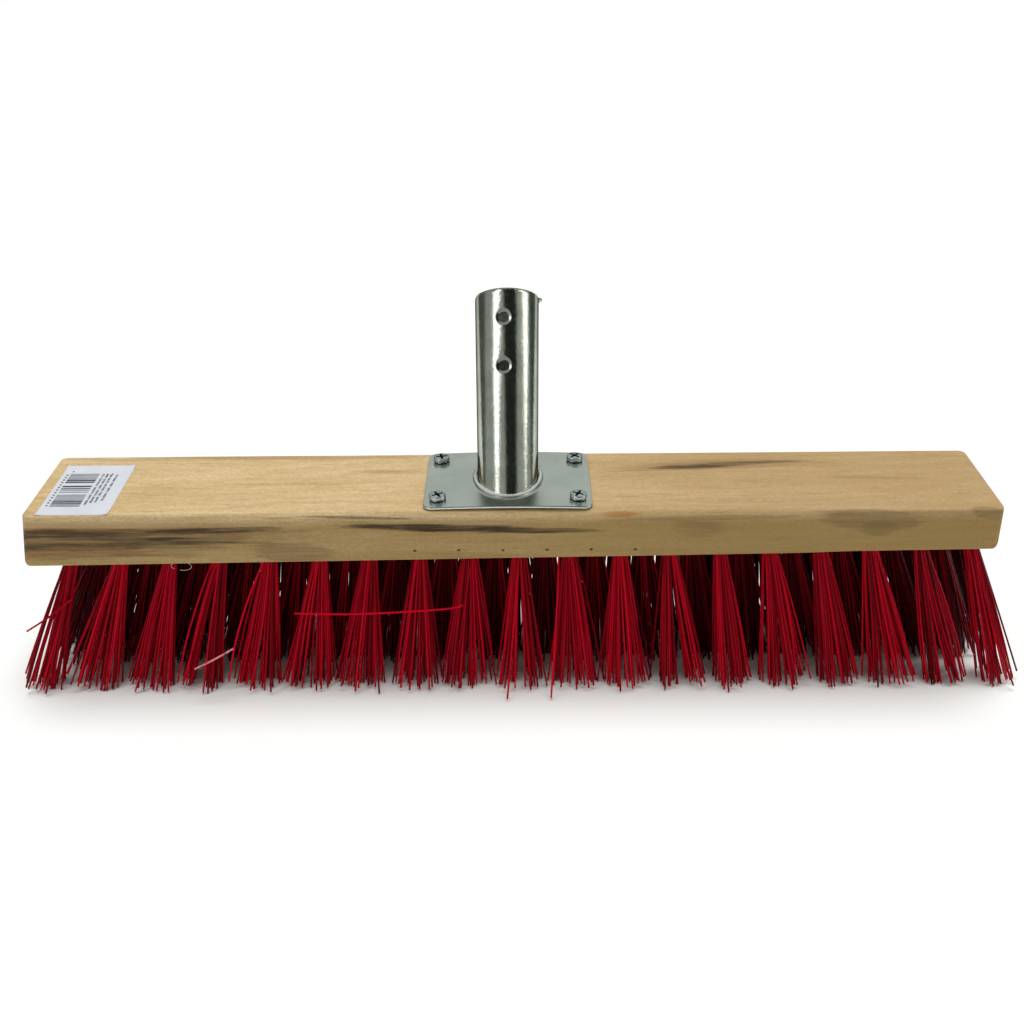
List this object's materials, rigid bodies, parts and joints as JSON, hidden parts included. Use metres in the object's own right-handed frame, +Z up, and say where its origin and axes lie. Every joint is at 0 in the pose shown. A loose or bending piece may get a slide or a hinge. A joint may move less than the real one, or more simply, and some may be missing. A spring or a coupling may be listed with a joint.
{
  "type": "push broom head",
  "caption": "Outdoor push broom head: fans of stiff red bristle in a softwood block, with a slanted steel handle socket on a screwed base plate.",
  "frame": {"origin": "on the floor that the bristle tips stand on, under the centre of the whole head's box", "axes": "+X right along the block as seen from the sweeping side, +Y from the sweeping side towards the handle, +Z up"},
  "size_m": [0.5494, 0.1202, 0.1947],
  "materials": {
    "pine": "bare sawn softwood, planed and unvarnished, with darker sap stain streaks",
    "zinc_plate": "zinc coated steel sheet and tube, satin, faintly spangled",
    "weld": "zinc coated fillet weld, rough and bright",
    "bright_zinc": "bright zinc plated screw",
    "red_bristle": "extruded PVC filament, saturated red, glossy",
    "label_paper": null
  },
  "bodies": {
    "root": {"base_plate": "zinc_plate", "handle_socket": "zinc_plate", "plate_screw_1": "bright_zinc", "plate_screw_2": "bright_zinc", "plate_screw_3": "bright_zinc", "plate_screw_4": "bright_zinc", "price_label": "label_paper", "socket_weld": "weld", "tuft_back_01": "red_bristle", "tuft_back_02": "red_bristle", "tuft_back_03": "red_bristle", "tuft_back_04": "red_bristle", "tuft_back_05": "red_bristle", "tuft_back_06": "red_bristle", "tuft_back_07": "red_bristle", "tuft_back_08": "red_bristle", "tuft_back_09": "red_bristle", "tuft_back_10": "red_bristle", "tuft_back_11": "red_bristle", "tuft_back_12": "red_bristle", "tuft_back_13": "red_bristle", "tuft_back_14": "red_bristle", "tuft_back_15": "red_bristle", "tuft_back_16": "red_bristle", "tuft_back_17": "red_bristle", "tuft_back_18": "red_bristle", "tuft_front_01": "red_bristle", "tuft_front_02": "red_bristle", "tuft_front_03": "red_bristle", "tuft_front_04": "red_bristle", "tuft_front_05": "red_bristle", "tuft_front_06": "red_bristle", "tuft_front_07": "red_bristle", "tuft_front_08": "red_bristle", "tuft_front_09": "red_bristle", "tuft_front_10": "red_bristle", "tuft_front_11": "red_bristle", "tuft_front_12": "red_bristle", "tuft_front_13": "red_bristle", "tuft_front_14": "red_bristle", "tuft_front_15": "red_bristle", "tuft_front_16": "red_bristle", "tuft_front_17": "red_bristle", "tuft_front_18": "red_bristle", "tuft_front_19": "red_bristle", "tufts_inner_back_1": "red_bristle", "tufts_inner_back_2": "red_bristle", "tufts_inner_back_3": "red_bristle", "tufts_inner_back_4": "red_bristle", "tufts_inner_back_5": "red_bristle", "tufts_inner_back_6": "red_bristle", "tufts_inner_front_1": "red_bristle", "tufts_inner_front_2": "red_bristle", "tufts_inner_front_3": "red_bristle", "tufts_inner_front_4": "red_bristle", "tufts_inner_front_5": "red_bristle", "tufts_inner_front_6": "red_bristle", "wooden_block": "pine"}
  },
  "joints": []
}
